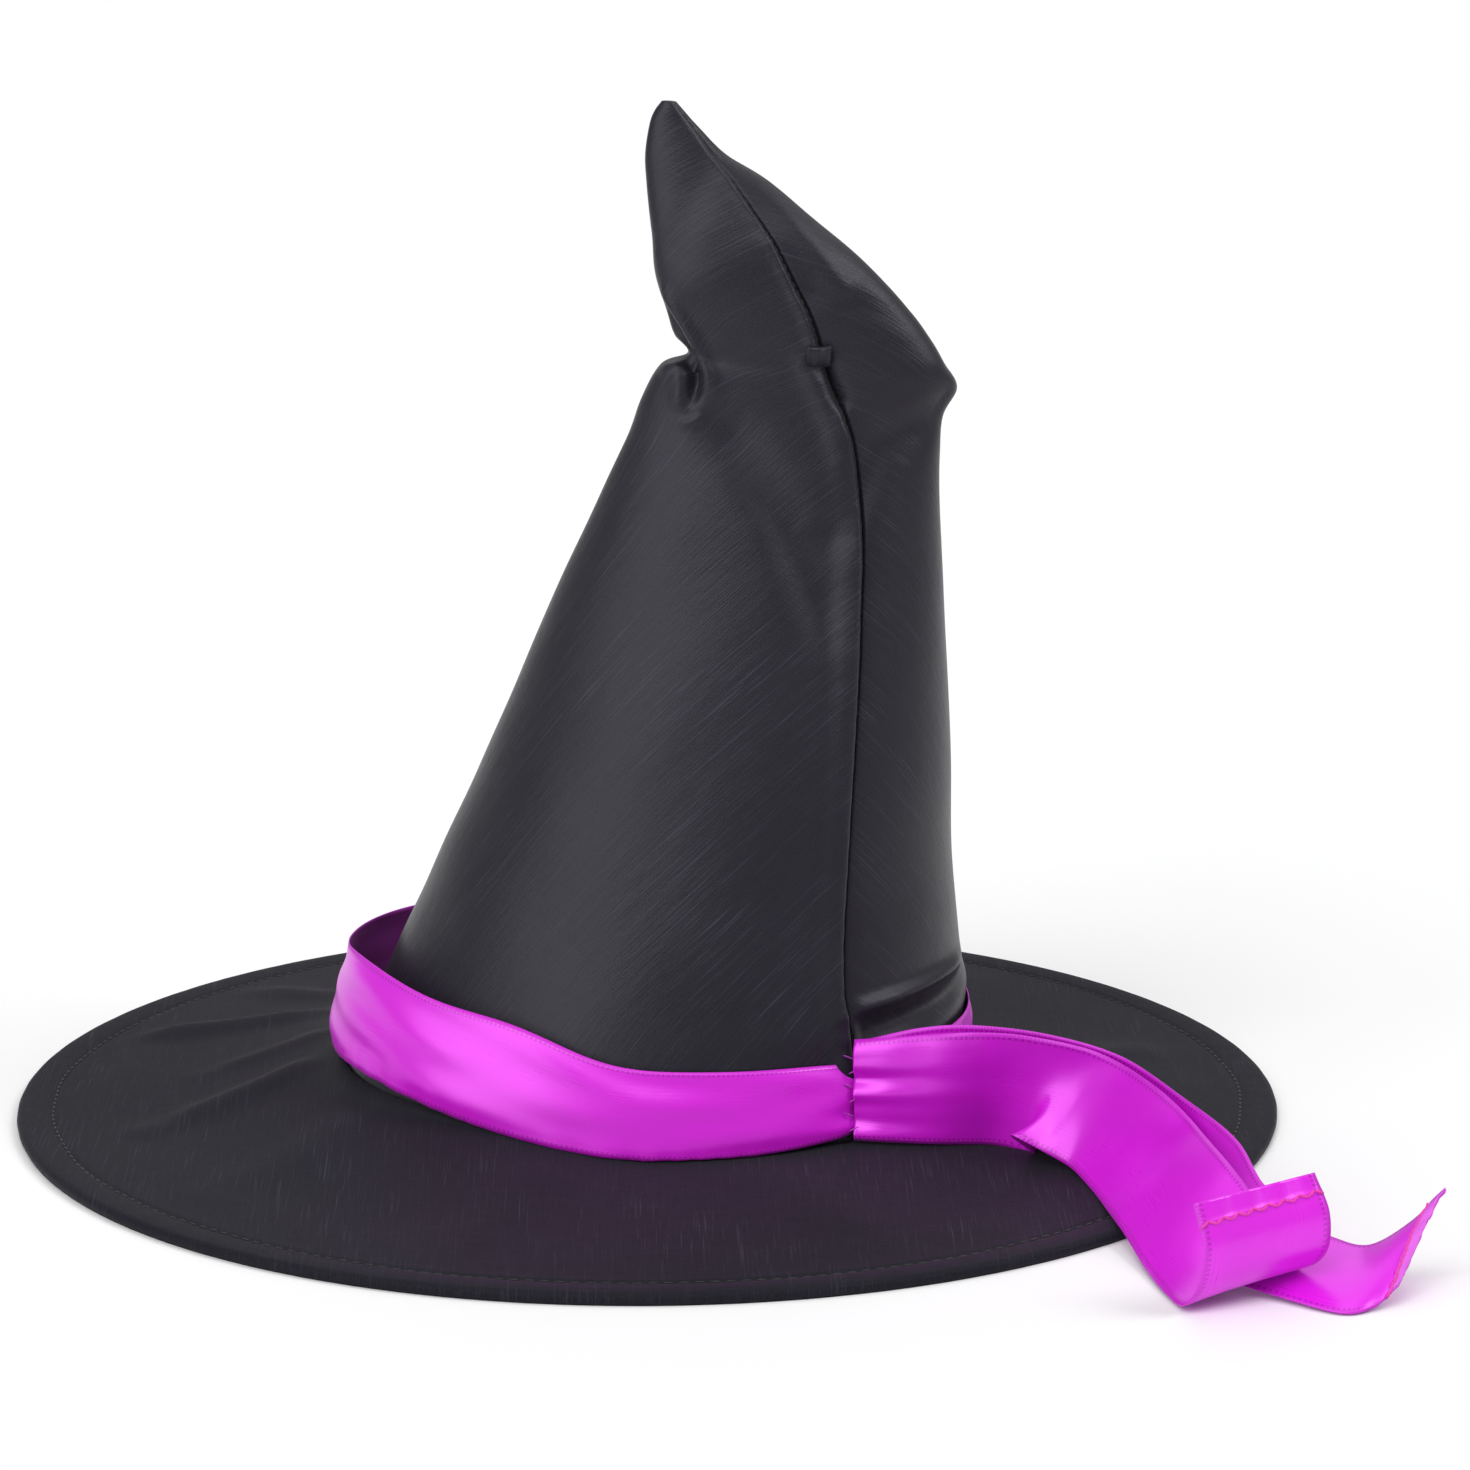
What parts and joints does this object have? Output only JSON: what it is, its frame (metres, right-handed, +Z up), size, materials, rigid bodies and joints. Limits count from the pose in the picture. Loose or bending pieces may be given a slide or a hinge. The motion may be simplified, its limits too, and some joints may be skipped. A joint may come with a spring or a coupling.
{
  "type": "witch hat",
  "caption": "Soft satin cone hat with a folded crook, a wired flat brim and a ribbon band whose ends hang free.",
  "frame": {"origin": "centre of the brim's circle, on the floor that the brim rests on", "axes": "+Z up, +X to the side on which the ribbon ends hang, -Y to the front, where the crown's seam runs"},
  "size_m": [0.4282, 0.4134, 0.318],
  "materials": {
    "black_satin": "woven satin with a soft sheen",
    "interlining": "matt stiff felt",
    "purple_satin": "glossy satin ribbon",
    "black_thread": "matt thread",
    "purple_thread": "matt thread",
    "hoop_plastic": "smooth",
    "joiner_plastic": "smooth",
    "sweatband_cloth": "ribbed grosgrain",
    "label_cloth": "blank woven tape"
  },
  "bodies": {
    "hat": {"crown_lower": "black_satin", "crown_interlining_lower": "interlining", "crown_seam_lower": "black_thread", "sweatband": "sweatband_cloth", "care_label": "label_cloth", "brim_top": "black_satin", "brim_under": "black_satin", "brim_interlining": "interlining", "brim_hoop": "hoop_plastic", "hoop_joiner": "joiner_plastic", "brim_topstitch": "black_thread", "hat_band": "purple_satin", "band_tack": "purple_thread"},
    "crook": {"crown_crook": "black_satin", "crown_interlining_crook": "interlining", "crown_seam_crook": "black_thread", "seam_tab": "black_satin"},
    "tail_front": {"ribbon_tail_front": "purple_satin", "hem_stitch_front": "purple_thread"},
    "tail_back": {"ribbon_tail_back": "purple_satin", "hem_stitch_back": "purple_thread"}
  },
  "joints": [
    {"name": "crook_fold", "type": "hinge", "parent": "hat", "child": "crook", "pos_m": [0.0965, 0, 0.23], "axis": [0, 1, 0], "range_deg": [0, 37]},
    {"name": "tail_front_swing", "type": "hinge", "parent": "hat", "child": "tail_front", "pos_m": [0.066, -0.0735, 0.024], "axis": [0, -0.7071, -0.7071], "range_deg": [0, 45]},
    {"name": "tail_back_swing", "type": "hinge", "parent": "hat", "child": "tail_back", "pos_m": [0.067, -0.07, 0.024], "axis": [0, -0.2588, 0.9659], "range_deg": [0, 25]}
  ]
}
